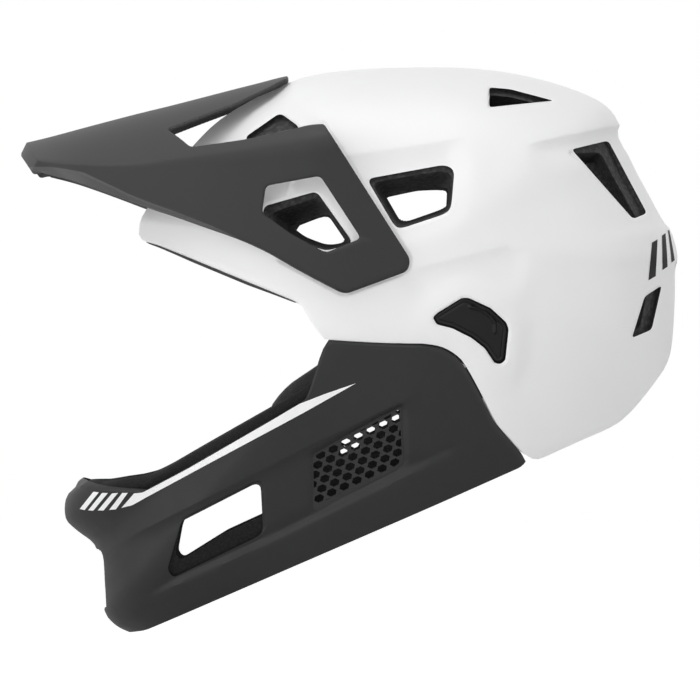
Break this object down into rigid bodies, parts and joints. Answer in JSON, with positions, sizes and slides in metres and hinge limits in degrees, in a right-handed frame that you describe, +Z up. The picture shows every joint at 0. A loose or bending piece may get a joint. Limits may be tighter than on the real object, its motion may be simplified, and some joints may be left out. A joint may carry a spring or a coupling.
{
  "type": "full face mountain bike helmet",
  "caption": "Full-face mountain bike helmet: white shell, tilting black visor, lift-off black chin guard with mesh windows, foam liner, pads, fit dial and chin straps.",
  "frame": {"origin": "middle of the head cavity, on the plane of symmetry at about brow height", "axes": "-X to the front of the face, -Y to the wearer's left, +Z up as worn"},
  "size_m": [0.3422, 0.2214, 0.2947],
  "materials": {
    "white_shell": "matt white paint over moulded polycarbonate",
    "black_plastic": "fine moulded grain, matt",
    "mesh_plastic": "matt",
    "rubber_trim": "matt",
    "foam": "dark expanded bead foam",
    "pad_cloth": "brushed knit cloth",
    "webbing": "woven nylon",
    "spring_steel": "drawn wire"
  },
  "bodies": {
    "helmet": {"outer_shell": "white_shell", "edge_trim": "rubber_trim", "foam_liner": "foam", "brow_pad": "pad_cloth", "crown_pads": "pad_cloth", "visor_bushes": "black_plastic", "latch_left": "black_plastic", "latch_right": "black_plastic", "button_spring_left": "spring_steel", "button_spring_right": "spring_steel", "fit_housing": "black_plastic", "fit_cover": "black_plastic", "strap_left": "webbing", "strap_right": "webbing", "strap_anchors": "black_plastic", "strap_dividers": "black_plastic", "buckle_socket": "black_plastic"},
    "visor": {"visor": "black_plastic", "visor_pins": "black_plastic"},
    "chin_guard": {"chin_guard": "black_plastic", "chin_foam": "foam", "side_mesh_left": "mesh_plastic", "side_mesh_right": "mesh_plastic", "front_mesh": "mesh_plastic", "cheek_pad_left": "pad_cloth", "cheek_pad_right": "pad_cloth", "hook_left": "black_plastic", "hook_right": "black_plastic"},
    "button_left": {"release_button_left": "black_plastic"},
    "button_right": {"release_button_right": "black_plastic"},
    "dial": {"fit_dial": "black_plastic"},
    "band_left": {"fit_band_left": "black_plastic"},
    "band_right": {"fit_band_right": "black_plastic"},
    "buckle_tongue": {"buckle_tongue": "black_plastic"}
  },
  "joints": [
    {"name": "visor_tilt", "type": "hinge", "parent": "helmet", "child": "visor", "pos_m": [-0.018, 0, 0.005], "axis": [0, 1, 0], "range_deg": [0, 20]},
    {"name": "chin_release", "type": "slide", "parent": "helmet", "child": "chin_guard", "axis": [-0.9205, 0, -0.3907], "range_m": [0, 0.2]},
    {"name": "button_left_press", "type": "slide", "parent": "helmet", "child": "button_left", "axis": [-0.1216, 0.9901, 0.0698], "range_m": [0, 0.003], "stiffness_N_per_m": 800, "springref_m": -0.001, "deforming": ["button_spring_left"]},
    {"name": "button_right_press", "type": "slide", "parent": "helmet", "child": "button_right", "axis": [-0.1216, -0.9901, 0.0698], "range_m": [0, 0.003], "stiffness_N_per_m": 800, "springref_m": -0.001, "deforming": ["button_spring_right"]},
    {"name": "dial_turn", "type": "hinge", "parent": "helmet", "child": "dial", "pos_m": [0.076, 0, -0.063], "axis": [1, 0, 0], "range_deg": [0, 114]},
    {"name": "band_left_draw", "type": "slide", "parent": "helmet", "child": "band_left", "axis": [0, 1, 0], "range_m": [0, 0.012]},
    {"name": "band_right_draw", "type": "slide", "parent": "helmet", "child": "band_right", "axis": [0, -1, 0], "range_m": [0, 0.012]},
    {"name": "buckle_pull", "type": "slide", "parent": "helmet", "child": "buckle_tongue", "axis": [0, -1, 0], "range_m": [0, 0.022], "deforming": ["strap_left"]}
  ],
  "couplings": [
    {"joint": "band_left_draw", "follows": "dial_turn", "m_per_rad": 0.006},
    {"joint": "band_right_draw", "follows": "dial_turn", "m_per_rad": 0.006}
  ]
}
